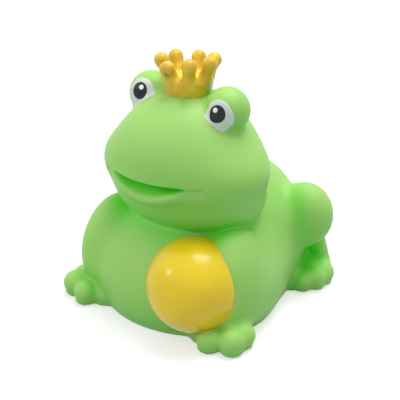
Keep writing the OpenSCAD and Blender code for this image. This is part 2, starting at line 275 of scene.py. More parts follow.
# %% Trunk, legs, arms and feet
BELLY = place(0, -9.2, 10.8), place(32, 27, 22.3)
BACK = place(0, 7.8, 14.3), place(27.8, 33.2, 31.2)
HAUNCH = place(26.3, 20.1, 26), place(9.3, 8, 10.7)
SHANK = place(26.7, 26.6, 18), place(29.3, 28.4, 6), 2.6, 2.4
ARM, ARM_PITCH, ARM_ROLL = (place(23.9, -18.3, 17.8), place(8.6, 11, 15.9)), -19.0, -6.5
FRONT_SOLE = place(27, -22, 4), place(29, -26.5, 3.4), 5.0, 4.2
FRONT_TOES = [(place(24.6, -32, 3.5), 3.8), (place(31.2, -29.3, 3.9), 4.1), (place(32.0, -24.3, 4.0), 3.7)]
FRONT_WEB = place(19.5, -28.3, 2.4), 3.6
HIND_SOLE = place(26, 25, 4), place(28.6, 21, 4), 4.0, 3.6
HIND_TOES = [(place(28.4, 16.6, 3.6), 3.4), (place(31.4, 20.2, 3.8), 3.4), (place(31.6, 24.8, 3.9), 3.6)]
HIND_WEB = place(25, 17, 2.4), 3.4
TORSO_MELT, KNEE_MELT, LEG_MELT, ARM_MELT = 6.0, 2.0, 5.0, 5.0
FRONT_TOE_MELT, HIND_TOE_MELT, FOOT_MELT = 1.6, 1.5, 2.5
SOLE_Z = 1.8


def torso(p):
    """Belly and back, melted together."""
    return melt(egg(p, *BELLY), egg(p, *BACK), TORSO_MELT)


def tipped(p, middle, pitch, roll):
    """Points seen from middle by something that is pitched about X and rolled about Y, in degrees."""
    x, y, z = np.moveaxis(p - middle, -1, 0)
    a, b = np.radians(pitch), np.radians(roll)
    y, z = y * np.cos(a) + z * np.sin(a), z * np.cos(a) - y * np.sin(a)
    return np.stack([x * np.cos(b) - z * np.sin(b), y, x * np.sin(b) + z * np.cos(b)], axis=-1)


def foot(p, sole, toes, web, width):
    """A sole with its toes melted on, one ball each, and a ball that closes the gap to the belly."""
    made = limb(p, *sole)
    for middle, radius in [*toes, web]:
        made = melt(made, length(p - middle) - radius, width)
    return made


def body(p):
    """Torso, hind legs, arms and feet. Below SOLE_Z the walls drop straight to the table."""
    q = np.concatenate([p[..., :2], np.maximum(p[..., 2:], SOLE_Z)], axis=-1)
    leg = melt(egg(q, *HAUNCH), limb(q, *SHANK), KNEE_MELT)
    arm = egg(tipped(q, ARM[0], ARM_PITCH, ARM_ROLL), 0, ARM[1])
    trunk = melt(melt(torso(q), leg, LEG_MELT), arm, ARM_MELT)
    front = foot(q, FRONT_SOLE, FRONT_TOES, FRONT_WEB, FRONT_TOE_MELT)
    hind = foot(q, HIND_SOLE, HIND_TOES, HIND_WEB, HIND_TOE_MELT)
    return melt(trunk, np.minimum(front, hind), FOOT_MELT)


print("belly is", 2 * BELLY[1][0], "mm wide")

# %% [markdown]
# ## The head and its mouth
#
# A skull, a wide muzzle and a jaw make the head, with a ball for each eye bump. On the real toy the
# mouth is a step in the mould. A boolean cut would leave a raw edge all round, so the mouth is a depth
# that is added to the field: a wedge that is deepest under the upper lip, so that the lip has a crisp
# edge and the mouth runs out softly at the lower one.

# %% Head, mouth and the whole skin
SKULL = place(0, -9.5, 51.4), place(21.3, 22.1, 20.1)
MUZZLE = place(0, -10, 47.9), place(28.1, 20.7, 14.2)
JAW = place(0, -8.3, 38.4), place(26.1, 17.9, 11.3)
EYE, EYE_RADIUS = place(14.2, -8.4, 67.3), 7.0
MUZZLE_MELT, JAW_MELT, EYE_MELT, NECK_MELT = 6.0, 5.0, 1.8, 1.6
BASE_EDGE = 1.0
LIP_Z, LIP_EDGE = 48.6, (-0.2, 0.5)
MOUTH_GAP, MOUTH_DEEP, MOUTH_HALF = 5.6, 4.8, 18.2
SNOUT_ROUND, LEAST_GAP = 3.0, 0.12
WEDGE_DOWN, WEDGE_SIDE = (0.25, 1.05), (7.0, 15.4)
CORNER_DIP, DIP_DOWN, DIP_SIDE = 0.6, (0.5, 3.5), (17.2, 18.4)
LIP_RIDGE, RIDGE_WIDE, RIDGE_LOW, RIDGE_SIDE = 1.4, 1.7, 0.7, (8.0, 15.0)
FACE = (6.0, 14.0)


def cheeks(p):
    """Skull, muzzle and jaw: the head without its eye bumps."""
    return melt(melt(egg(p, *SKULL), egg(p, *MUZZLE), MUZZLE_MELT), egg(p, *JAW), JAW_MELT)


def bare_head(p):
    """Head with its eye bumps, before the mouth is pressed in."""
    return melt(cheeks(p), length(p - EYE) - EYE_RADIUS, EYE_MELT)


def mouth(p):
    """Depth of the mouth. A wedge is deepest under the upper lip and runs out at the lower one, which
    rises to the corners. The lower lip is a low ridge, and the corners end in a shallow square dip."""
    x, drop = p[..., 0], LIP_Z - p[..., 2]
    gap = MOUTH_GAP * np.maximum(1 - np.hypot(x, SNOUT_ROUND) / MOUTH_HALF, LEAST_GAP)
    wedge = MOUTH_DEEP * (1 - ramp(drop / gap, *WEDGE_DOWN)) * (1 - ramp(x, *WEDGE_SIDE))
    dip = CORNER_DIP * (1 - ramp(drop, *DIP_DOWN)) * (1 - ramp(x, *DIP_SIDE))
    bulge = np.exp(-(((drop - gap) / RIDGE_WIDE - RIDGE_LOW) ** 2))
    ridge = LIP_RIDGE * bulge * (1 - ramp(x, *RIDGE_SIDE))
    return (ramp(drop, *LIP_EDGE) * np.maximum(wedge, dip) - ridge) * ramp(-p[..., 1], *FACE)


def head(p):
    """Head with its mouth."""
    return bare_head(p) + mouth(p)


def skin(p):
    """Body and head with a fillet at the neck, and a quarter round where the wall meets the table."""
    rise = np.clip(p[..., 2], 0, BASE_EDGE)
    tucked = BASE_EDGE - np.sqrt(np.maximum(BASE_EDGE**2 - (BASE_EDGE - rise) ** 2, 0))
    return melt(body(p), head(p), NECK_MELT) + tucked


print("eyes stand", EYE[2], "mm up, and the lip runs at", LIP_Z)

# %% [markdown]
# ## A grid on a field
#
# A field has no points of its own, so a grid is laid on it. Rays from the middle stop where they meet
# the surface. They land far apart where the surface falls away, as between the toes, so the grid is
# then evened: each point moves to the middle of its four neighbours and slides back to the surface
# along the field's slope, and that is repeated. The result is as even as a net drawn by hand.

# %% Rays and evening
FAR, RAY_ROUNDS, RAY_STEP = 60.0, 40, 0.9
SLOPE_STEP, LEAST_SLOPE = 0.01, 0.1


def reach(start, ray, field):
    """Distance along each ray to the outermost surface: step in from afar by most of the gap left."""
    t = np.full(ray.shape[:-1], FAR)
    for _ in range(RAY_ROUNDS):
        t = t - RAY_STEP * field(start + t[..., None] * ray)
    return t


def cast(start, azimuth, elevation, field):
    """Where rays that leave start in those directions meet the field's surface."""
    ray = direction(azimuth, elevation)
    return start + reach(start, ray, field)[..., None] * ray


def angles(v):
    """Azimuth and elevation, in degrees, of the vectors along the last axis."""
    return (np.degrees(np.arctan2(v[..., 0], -v[..., 1])),
            np.degrees(np.arctan2(v[..., 2], np.hypot(v[..., 0], v[..., 1]))))


def settle(p, field, free):
    """One Newton step to the field's surface, p - f g / |g|^2, along the axes that free leaves open."""
    f = field(p)
    g = np.stack([field(p + SLOPE_STEP * axis) - f for axis in np.eye(3)], axis=-1) / SLOPE_STEP * free
    return p - (f / np.maximum((g * g).sum(-1), LEAST_SLOPE))[..., None] * g


def evened(p, field, free, rounds):
    """Move each point of a half grid to the middle of its neighbours, then settle it. Level rows use
    only their own row. The end columns meet their mirror image."""
    level = free[..., 2:] == 0
    fixed = (free == 0).all(-1, keepdims=True)
    flip = place(-1, 1, 1)
    for _ in range(rounds):
        wide = np.concatenate([p[:, 1:2] * flip, p, p[:, -2:-1] * flip], axis=1)
        across = (wide[:, :-2] + wide[:, 2:]) / 2
        along = (np.concatenate([p[:1], p[:-1]]) + np.concatenate([p[1:], p[-1:]])) / 2
        middle = np.where(level, across, (across + along) / 2)
        p = np.where(fixed, p, settle(middle, field, free))
    return p


print("a ray to the nose is", round(float(reach(SKULL[0], place(0, -1, 0), head)), 2), "mm long")

# %% [markdown]
# ## Rows from the table to the top of the head
#
# The skin is a surface with two parameters: a turn, from the nose round the left side to the tail, and
# a row, from the table up over the body, into the neck crease, and on over the head. One centre can't
# see all of it, so the rays start from the body's axis, the body's middle, the lips and the brow in
# turn. A few rows stay level at the upper lip, so that its edge runs along the grid and stays crisp.

# %% Rows over the body and the head
COLUMNS = 176
FOOT_ROWS, SIDE_ROWS, JAW_ROWS, BROW_ROWS = 24, 44, 38, 66
BODY_MIDDLE = place(0, 1, 15)
CREASE_SCAN = np.linspace(0, 85, 240)[:, None]
LIP_ROWS = LIP_Z + np.linspace(-0.55, 0.25, 6)
LIP_MIDDLE, BROW_MIDDLE = place(0, -9, LIP_ROWS[0]), place(0, -8.5, LIP_ROWS[-1])
TOP_RISE = 86.0
turns = np.linspace(0, 180, COLUMNS + 1)


def level_rows(y, heights, field):
    """Level rows of points on a field, one for each height, by rays from the upright line at y."""
    starts = np.stack([0 * heights, y + 0 * heights, heights], axis=-1)[:, None, :]
    return cast(starts, turns, np.zeros((len(heights), 1)), field)


scan = cast(BODY_MIDDLE, turns, CREASE_SCAN, body)
first_under = (head(scan) < 0).argmax(axis=0)
crease_rise = CREASE_SCAN[first_under, 0]
crease = np.take_along_axis(scan, first_under[None, :, None], axis=0)[0]
crease_turn, crease_drop = angles(crease - LIP_MIDDLE)
foot_rows = level_rows(BODY_MIDDLE[1], np.linspace(0, BODY_MIDDLE[2], FOOT_ROWS), body)
side_rows = cast(BODY_MIDDLE, turns, np.linspace(0, 1, SIDE_ROWS)[1:-1, None] * crease_rise, body)
jaw_share = np.linspace(0, 1, JAW_ROWS)[1:-1, None]
jaw_turns = crease_turn + jaw_share * (turns - crease_turn)
jaw_rows = cast(LIP_MIDDLE, jaw_turns, (1 - jaw_share) * crease_drop, head)
lip_rows = level_rows(LIP_MIDDLE[1], LIP_ROWS, head)
brow_rows = cast(BROW_MIDDLE, turns, np.linspace(0, TOP_RISE, BROW_ROWS)[1:, None], head)
half = np.concatenate([foot_rows, side_rows, crease[None], jaw_rows, lip_rows, brow_rows])
print("half a frog:", half.shape[0], "rows of", half.shape[1], "points")

# %% [markdown]
# ## Evening the rows
#
# The first and last columns stay in the middle plane, the lowest row stays on the table, the lip rows
# stay level, and the last row stays put. The lowest row is then cast again, at turns that never go
# back, so that flat rows of the base can run straight in from it without folding over.

# %% Even the grid
EVEN_ROUNDS, SETTLE_ROUNDS = 60, 3
first_lip = len(foot_rows) + len(side_rows) + 1 + len(jaw_rows)
free = np.ones_like(half)
free[:, [0, -1], 0] = 0
free[0, :, 2] = 0
free[first_lip:first_lip + len(LIP_ROWS), :, 2] = 0
free[-1] = 0
half = evened(half, skin, free, EVEN_ROUNDS)
for _ in range(SETTLE_ROUNDS):
    half = np.where(free.any(-1, keepdims=True), settle(half, skin, free), half)
half[0] = cast(place(0, 0, 0), np.maximum.accumulate(angles(half[0])[0]), 0.0, skin)
print("largest miss from the field: %.4f mm" % np.abs(skin(half[1:-1])).max())

# %% [markdown]
# ## The inside and the base
#
# Vinyl is cast in a heated, turning mould and comes out as a hollow skin. A Solidify modifier would copy
# every toe and lip to the inside, so the chamber has a plain field of its own, met by rays from a point
# where the body's and the head's hollow overlap. The base is flat, with a step round the hole that takes
# the squeaker's flange. Rows run from the top of the chamber down its wall, in along its floor, down
# through the hole, out along the base, and up the outside, so that one grid closes the whole skin.

# %% Chamber and base rings
WALL, BASE_T = 2.2, 3.0
HOLE_R, RECESS_R, RECESS_T = 6.5, 9.1, 1.05
CHAMBER_MIDDLE, CHAMBER_TOP = place(0, -4, 34.5), 88.0
BEHIND_MOUTH = (4.0, 10.0)
CHAMBER_ROWS, FLOOR_ROWS, BASE_ROWS = 30, 5, 10


def chamber(p):
    """The hollow inside: torso and head, each in by the wall, and further in behind the mouth."""
    from_mouth = np.abs(p[..., 2] - LIP_Z + MOUTH_GAP / 2)
    behind = ramp(-p[..., 1], *FACE) * (1 - ramp(from_mouth, *BEHIND_MOUTH))
    return np.minimum(torso(p) + WALL, bare_head(p) + WALL + MOUTH_DEEP * behind)


def ring(radius, z):
    """Half a level circle about the squeaker's axis."""
    return radius * direction(turns, 0) + place(0, 0, z)


floor_edge = cast(place(0, 1, BASE_T), turns, 0.0, chamber)
edge_turn, edge_rise = angles(floor_edge - CHAMBER_MIDDLE)
wall_share = np.linspace(0, 1, CHAMBER_ROWS)[1:-1, None]
wall_turns = turns + wall_share * (edge_turn - turns)
wall_rises = CHAMBER_TOP + wall_share * (edge_rise - CHAMBER_TOP)
inside = cast(CHAMBER_MIDDLE, wall_turns, wall_rises, chamber)
hole_rings = np.stack([
    ring(HOLE_R, BASE_T), ring(HOLE_R, RECESS_T), ring(RECESS_R, RECESS_T), ring(RECESS_R, 0)])
floor_share = np.linspace(0, 1, FLOOR_ROWS)[:-1, None, None]
chamber_floor = floor_edge + floor_share * (hole_rings[0] - floor_edge)
base_share = np.linspace(0, 1, BASE_ROWS)[1:-1, None, None]
base = hole_rings[-1] + base_share * (half[0] - hole_rings[-1])
print("chamber rows:", len(inside), "and base rows:", len(hole_rings) + len(base))

# %% [markdown]
# ## From rings to a mesh
#
# Every new piece in this lesson is a stack of rings, or several, with a point that closes each end. If
# rings turn anticlockwise when they are seen from the end where the stack stops, the faces point
# outwards. Edges sharper than an angle stay sharp, and everything else is shaded smooth.

# %% Build the vinyl skin
SHARP = 60.0


def whole(half_rows):
    """Full rings from half ones: the mirror image comes back along the other side."""
    return np.concatenate([half_rows, half_rows[:, -2:0:-1] * place(-1, 1, 1)], axis=1)


def faces_of(rows, columns, start):
    """Faces of a stack whose points begin at start: quads between rings, and a fan at each end."""
    index = start + np.arange(rows * columns).reshape(rows, columns)
    after = np.roll(index, -1, axis=1)
    quads = np.stack([index[:-1], after[:-1], after[1:], index[1:]], axis=-1).reshape(-1, 4)
    ends = start + rows * columns + np.zeros(columns, int)
    first_fan = np.stack([ends, after[0], index[0]], axis=-1)
    last_fan = np.stack([ends + 1, index[-1], after[-1]], axis=-1)
    return quads.tolist() + first_fan.tolist() + last_fan.tolist()


def stacked(name, *stacks):
    """A mesh of closed stacks, in mm. Each is (rings, first, last): rings, and a point for each end."""
    points, faces = np.empty((0, 3)), []
    for rings, first, last in stacks:
        faces += faces_of(*rings.shape[:2], len(points))
        points = np.concatenate([points, rings.reshape(-1, 3), [first, last]])
    mesh = bpy.data.meshes.new(name)
    mesh.from_pydata((points * MM).tolist(), [], faces)
    mesh.polygons.foreach_set("use_smooth", np.ones(len(mesh.polygons), bool))
    mesh.set_sharp_from_angle(angle=math.radians(SHARP))
    mesh.update()
    made = bpy.data.objects.new(name, mesh)
    bpy.context.scene.collection.objects.link(made)
    print(name, "has", len(mesh.polygons), "faces")
    return made


head_top = cast(BROW_MIDDLE, 0.0, 90.0, head)
chamber_top = cast(CHAMBER_MIDDLE, 0.0, 90.0, chamber)
skin_rows = np.concatenate([inside, chamber_floor, hole_rings, base, half])
vinyl = stacked("frog_skin", (whole(skin_rows), chamber_top, head_top))

# %% [markdown]
# ## A coat of paint
#
# Each eye is three coats of paint sprayed through masks. It could be a pattern in the vinyl's material,
# but a coat with a thickness of its own catches the light at its edge. A coat is a thin lens on the
# skin: a polar grid about the way the eye looks, whose points are found on the skin's own field and
# lifted by the thickness of the paint. The underside comes first and the top second, which closes it.

# %% Coats on the eye bumps
SIDES = {"left": 1.0, "right": -1.0}
COAT, COAT_SINK, COAT_EDGE = 0.14, 0.05, 0.12
COAT_ROWS, BUMP_ROUNDS = 18, 8
spin = np.linspace(0, 2 * np.pi, 97)[:-1]


def basis_about(azimuth, elevation):
    """A direction, such as the way an eye looks, and the two across it, to the side and up."""
    ahead = direction(azimuth, elevation)
    across = direction(azimuth + 90, 0)
    return ahead, across, np.cross(ahead, across)


def polar_rays(basis, spread, spins):
    """Directions at an angle, spread degrees, to the first of basis, one column for each spin:
    cos(spread) ahead + sin(spread) (cos(spin) across + sin(spin) up)."""
    ahead, across, up = basis
    s = np.radians(spread)[..., None]
    around = np.cos(spins)[:, None] * across + np.sin(spins)[:, None] * up
    return np.cos(s) * ahead + np.sin(s) * around


def on_bump(rays):
    """How far from the bump's middle rays meet the skin, by steps along each ray."""
    t = np.full(rays.shape[:-1], EYE_RADIUS)
    for _ in range(BUMP_ROUNDS):
        t = t - bare_head(EYE + t[..., None] * rays)
    return t


def coat(name, side, gaze, edge, lift):
    """A lens of paint about the gaze: edge gives its spread for each spin, and lift how many coats it
    lies on. Its top stands COAT proud and rounds off to nothing at the edge."""
    out_share = np.linspace(0, 1, COAT_ROWS + 1)[1:, None]
    basis = basis_about(*gaze)
    rays = polar_rays(basis, out_share * edge, spin)
    under = on_bump(rays) + lift * COAT
    proud = COAT * np.sqrt(np.clip((1 - out_share) / COAT_EDGE, 0, 1))
    low, high = EYE + (under - COAT_SINK)[..., None] * rays, EYE + (under + proud)[..., None] * rays
    ends = [EYE + (EYE_RADIUS + lift * COAT + rise) * basis[0] for rise in (-COAT_SINK, COAT)]
    rings = np.concatenate([low, high[::-1]])
    flip = place(SIDES[side], 1, 1)
    if SIDES[side] < 0:
        rings = rings[:, ::-1]
    return stacked(name, (rings * flip, ends[0] * flip, ends[1] * flip))


print("a coat is", COAT, "mm thick and made of", 2 * COAT_ROWS, "rings of", len(spin), "points")

# %% [markdown]
# ## Whites, pupils and glints
#
# A white fills the front of the bump, droops at its outer lower side, and stops in the crease with the
# forehead. The crease is found by a scan outwards from the gaze for the first spot that the forehead
# covers. The dark pupil and the small glint lie on top. The two eyes look slightly different ways, as
# hand-set masks leave them.

# %% Whites, pupils and glints
GAZE = {"left": (10.0, 7.0), "right": (-4.0, 20.0)}
WHITE_SPREAD, WHITE_DROOP, DROOP_SPIN = 35.0, 12.0, -0.8
WHITE_INNER = {"left": -4.0, "right": 6.0}
INTO_CREASE = 0.6
PUPIL_SPREAD, PUPIL_TALL = 20.5, 1.2
GLINT_SPREAD, GLINT_SHIFT = 6.0, (-5.0, 8.5)
spread_scan = np.linspace(5, 60, 221)[:, None]


def white_edge(side):
    """Spread of a white for each spin: round, with a droop and an inner corner, cut by the crease."""
    bump = EYE + EYE_RADIUS * polar_rays(basis_about(*GAZE[side]), spread_scan + 0 * spin, spin)
    clear = cheeks(bump) > -INTO_CREASE
    last = np.where(clear.all(axis=0), len(spread_scan) - 1, clear.argmin(axis=0))
    droop = WHITE_DROOP * np.maximum(np.cos(spin - DROOP_SPIN), 0) ** 2
    inner = WHITE_INNER[side] * np.maximum(-np.cos(spin), 0) ** 4
    return np.minimum(WHITE_SPREAD + droop + inner, spread_scan[last, 0])


pupil_edge = PUPIL_SPREAD + PUPIL_TALL * np.sin(spin) ** 2
glint_edge = GLINT_SPREAD + 0 * spin
eye_pieces = {}
for side in SIDES:
    glint_gaze = (GAZE[side][0] + GLINT_SHIFT[0], GAZE[side][1] + GLINT_SHIFT[1])
    eye_pieces[side + "_eye_white"] = coat(side + "_white", side, GAZE[side], white_edge(side), 0)
    eye_pieces[side + "_pupil"] = coat(side + "_dark_pupil", side, GAZE[side], pupil_edge, 1)
    eye_pieces[side + "_glint"] = coat(side + "_eye_glint", side, glint_gaze, glint_edge, 2)

# %% [markdown]
# ## The ball
#
# The ball is part of the same moulding: only the part of a sphere that stands out of the belly and the
# arm shows. A whole sphere would stick through the wall into the chamber, so a polar grid about the way
# the ball bulges runs out to the line where the sphere goes into the skin, and a little past it. The
# back is closed under the skin.

# %% Ball
BALL, BALL_RADIUS = place(15.2, -26.3, 16.8), 14.75
BALL_FACE = (28.0, -4.0)
TUCK = 1.2
BALL_ROWS, BACK_ROWS = 60, 8
ball_spin = np.linspace(0, 2 * np.pi, 193)[:-1]
ball_basis = basis_about(*BALL_FACE)
ball_scan = np.linspace(20, 175, 400)[:, None] + 0 * ball_spin
bare = body(BALL + BALL_RADIUS * polar_rays(ball_basis, ball_scan, ball_spin)) > -TUCK
ball_edge = ball_scan[bare.argmin(axis=0), 0]
ball_share = np.linspace(0, 1, BALL_ROWS)[1:, None]
ball_front = BALL + BALL_RADIUS * polar_rays(ball_basis, ball_share * ball_edge, ball_spin)
rim = ball_front[-1]
back_middle = rim.mean(axis=0)
ball_back = back_middle + np.linspace(0, 1, BACK_ROWS)[1:-1, None, None] * (rim - back_middle)
ball_rings = np.concatenate([ball_back, ball_front[::-1]])
ball = stacked("ball_paint", (ball_rings, back_middle, BALL + BALL_RADIUS * ball_basis[0]))

# %% [markdown]
# ## The crown's form
#
# The crown is a flared drum with seven posts, and a small ball on each post. Cylinders and spheres joined
# by booleans would meet in hard edges, so it is a field too: the posts melt into the drum and the balls
# into the posts. The points droop a little, each by its own amount, as soft vinyl does when it comes out
# of the mould.

# %% Crown field
CROWN_FOOT = place(0, -8.5, 70.3)
CROWN_R, FLARE, DRUM_H, DISH, FOOT_DROP = 7.1, 0.17, 5.3, 0.5, 0.55
TOP_ROUND, FOOT_ROUND, TIP_MELT, POST_MELT = 1.8, 0.6, 0.8, 1.3
POINTS, FIRST_POINT = 7, 257.0
POST_RING, POST_Z, POST_R, NECK_R = 5.3, 3.4, 2.1, 1.9
TIP_RING, TIP_H, TIP_R = 8.1, 9.3, 2.25
TIP_DROPS = place(0.6, -0.8, -0.7, 0, 0.8, 0.4, -0.2)
UP = place(0, 0, 1)
point_turns = np.radians(FIRST_POINT + 360 / POINTS * np.arange(POINTS))
outs = np.stack([np.cos(point_turns), np.sin(point_turns), 0 * point_turns], axis=-1)
post_feet = POST_RING * outs + POST_Z * UP
tips = TIP_RING * outs + (TIP_H - TIP_DROPS)[:, None] * UP


def both(f, g, width):
    """Smooth intersection: what lies in both shapes, with the edge between them rounded over width."""
    return -melt(-f, -g, width)


def drum(p):
    """Flared side, dished top and flat foot, in the crown's own frame with its foot at z = 0."""
    r, z = np.hypot(p[..., 0], p[..., 1]), p[..., 2]
    side = (r - CROWN_R - FLARE * z) / math.hypot(1, FLARE)
    top = z - DRUM_H + DISH * np.maximum(1 - (r / CROWN_R) ** 2, 0)
    return both(both(side, top, TOP_ROUND), -z - FOOT_DROP, FOOT_ROUND)


def crown_shape(p):
    """Drum with its posts and the balls on their ends."""
    made = drum(p)
    for low, high in zip(post_feet, tips):
        post = melt(limb(p, low, high, POST_R, NECK_R), length(p - high) - TIP_R, TIP_MELT)
        made = melt(made, post, POST_MELT)
    return made


print("the crown's highest point is", round(CROWN_FOOT[2] + tips[:, 2].max() + TIP_R, 2), "mm up")

# %% [markdown]
# ## The crown's mesh
#
# Rays from one middle can't see round seven posts, so the crown is eight stacks that run into each
# other. The drum is one, with a side that swells out to meet the posts. Each post is another: its rings
# fan out over the drum at the foot, run straight up the post, and close over the ball. The lowest rings
# of a post sink a little into the drum, so that no gap shows.

# %% Crown mesh
DRUM_MIDDLE = place(0, 0, 2.4)
SWELL_RISES = (11.0, 18.0)
FAN_ROWS, SHAFT_ROWS, TIP_ROWS = 14, 8, 18
FAN_START, FAN_DROP, TIP_RISE = 0.62, -52.0, 84.0
POST_ROUNDS, POST_STEP, FIRST_REACH = 60, 0.6, 0.5
SUNK_ROWS, SINK = 2, 0.12
crown_turns = np.linspace(0, 360, 211)[:-1]
drum_rises = np.linspace(-86, 86, 120)[:, None]
swell = 1 - ramp(drum_rises, *SWELL_RISES)
post_spin = np.linspace(0, 2 * np.pi, 57)[:-1, None]
post_share = np.concatenate([
    np.full(FAN_ROWS, FAN_START), np.linspace(FAN_START, 1, SHAFT_ROWS + 2)[1:-1], np.ones(TIP_ROWS)])
post_rise = np.radians(np.concatenate([
    np.linspace(FAN_DROP, 0, FAN_ROWS), np.zeros(SHAFT_ROWS), np.linspace(0, TIP_RISE, TIP_ROWS)]))
sunk = SINK * np.clip(SUNK_ROWS - np.arange(len(post_rise)), 0, SUNK_ROWS)


def band(p):
    """The drum, plus a share of the step from it to the whole crown: all of it at the side, which swells
    out to meet the posts, and none of it on top, which stays clear of them."""
    return drum(p) + swell * (crown_shape(p) - drum(p))


def post_stack(out, low, high):
    """Rings up one post: rays across its line, tilted down at the foot and up over the ball."""
    axis = (high - low) / length(high - low)
    across = np.cross(UP, out)
    outward = np.cross(across, axis)
    start = low + post_share[:, None, None] * (high - low)
    rise = post_rise[:, None, None]
    level = np.cos(post_spin) * outward + np.sin(post_spin) * across
    rays = np.cos(rise) * level + np.sin(rise) * axis
    t = np.full(rays.shape[:-1], FIRST_REACH)
    for _ in range(POST_ROUNDS):
        t = t - POST_STEP * crown_shape(start + t[..., None] * rays)
    return start + (t - sunk[:, None])[..., None] * rays, low, start[-1, 0] + axis * TIP_R


def on_head(stack):
    """A stack moved from the crown's own frame to its place on the head."""
    return tuple(part + CROWN_FOOT for part in stack)


drum_rings = cast(DRUM_MIDDLE, crown_turns, drum_rises, band)
drum_ends = [cast(DRUM_MIDDLE, 0.0, rise, drum) for rise in (-90.0, 90.0)]
crown_stacks = [(drum_rings, *drum_ends)] + [post_stack(*parts) for parts in zip(outs, post_feet, tips)]
crown = stacked("crown_paint", *[on_head(stack) for stack in crown_stacks])

# %% [markdown]
# ## Shared effects
#
# Every finish is made of nodes that read Object coordinates, so nothing slides when a piece moves. Two
# effects are used more than once, so each is a node group with its own inputs. The first is the grain
# of cast vinyl: a very fine unevenness for the bump, and a broad, faint mottle for colour and gloss. The
# second is a spray spot: how much of a spray lands near a point, with a ragged edge.

# %% Shared node groups
GRAIN_ROUGHNESS = 0.55
RAGGED_SCALE, RAGGED_DETAIL = 900.0, 2.0


def new_group(name, inputs, outputs):
    """A shader node group; sockets are (name, Float or Vector). Returns (group, nodes, link, in, out)."""
    made = bpy.data.node_groups.new(name, "ShaderNodeTree")
    for kind, sockets in (("INPUT", inputs), ("OUTPUT", outputs)):
        for title, form in sockets:
            made.interface.new_socket(title, in_out=kind, socket_type="NodeSocket" + form)
    source, sink = made.nodes.new("NodeGroupInput"), made.nodes.new("NodeGroupOutput")
    return made, made.nodes, made.links.new, source.outputs, sink.inputs


def cast_grain_group():
    """Grain of cast vinyl: Height is fine noise for a bump, Mottle broad noise for colour and gloss."""
    made, nodes, link, given, result = new_group(
        "cast_grain",
        [("Place", "Vector"), ("Fine", "Float"), ("Broad", "Float")],
        [("Height", "Float"), ("Mottle", "Float")])
    for scale, output, detail in (("Fine", "Height", 3.0), ("Broad", "Mottle", 2.0)):
        noise = add(nodes, "TexNoise", {"Detail": detail, "Roughness": GRAIN_ROUGHNESS})
        link(given["Place"], noise.inputs["Vector"])
        link(given[scale], noise.inputs["Scale"])
        link(noise.outputs["Fac"], result[output])
    return made


def spray_spot_group():
    """Where a spray reaches: 1 within Near of Middle, fading to 0 at Far, with a ragged edge. The edge
    moves in and out by a noise about 0, times Ragged."""
    made, nodes, link, given, result = new_group(
        "spray_spot",
        [("Place", "Vector"), ("Middle", "Vector"), ("Near", "Float"), ("Far", "Float"), ("Ragged", "Float")],
        [("Mask", "Float")])
    gap = add(nodes, "VectorMath", operation="DISTANCE")
    noise = add(nodes, "TexNoise", {"Scale": RAGGED_SCALE, "Detail": RAGGED_DETAIL})
    uneven = add(nodes, "Math", {1: 0.5}, operation="SUBTRACT")
    edge = add(nodes, "Math", operation="MULTIPLY_ADD")
    fade = add(nodes, "MapRange", {"To Min": 1.0, "To Max": 0.0}, interpolation_type="SMOOTHSTEP")
    link(given["Place"], gap.inputs[0])
    link(given["Middle"], gap.inputs[1])
    link(given["Place"], noise.inputs["Vector"])
    link(noise.outputs["Fac"], uneven.inputs[0])
    link(uneven.outputs[0], edge.inputs[0])
    link(given["Ragged"], edge.inputs[1])
    link(gap.outputs["Value"], edge.inputs[2])
    link(edge.outputs[0], fade.inputs["Value"])
    link(given["Near"], fade.inputs["From Min"])
    link(given["Far"], fade.inputs["From Max"])
    link(fade.outputs["Result"], result["Mask"])
    return made


CAST_GRAIN, SPRAY_SPOT = cast_grain_group(), spray_spot_group()
print("shared effects:", CAST_GRAIN.name, "and", SPRAY_SPOT.name)

# %% [markdown]
# ## A finish to start from
#
# Paint, vinyl and hard plastic differ in colour, gloss and grain, but are wired alike: the mottle moves
# the colour between two close tones and the gloss up and down a little, and the fine grain lifts the
# surface by a few hundredths of a millimetre at most. A finish that needs more lays further colours over
# this one, each by a mask.

# %% Start of a finish
TONE_RANGE, GLOSS_RANGE = (0.32, 0.68), (0.3, 0.7)


def srgb(red, green, blue):
    """A colour on the usual scale of 0 to 255, as the linear colour that a shader takes."""
    c = np.array([red, green, blue]) / 255
    return (*np.where(c <= 0.04045, c / 12.92, ((c + 0.055) / 1.055) ** 2.4), 1.0)


def between(nodes, value_range, result_range=(0.0, 1.0)):
    """A node that maps one range of values to another, and holds its result inside it."""
    return add(nodes, "MapRange", {
        "From Min": value_range[0], "From Max": value_range[1],
        "To Min": result_range[0], "To Max": result_range[1]})


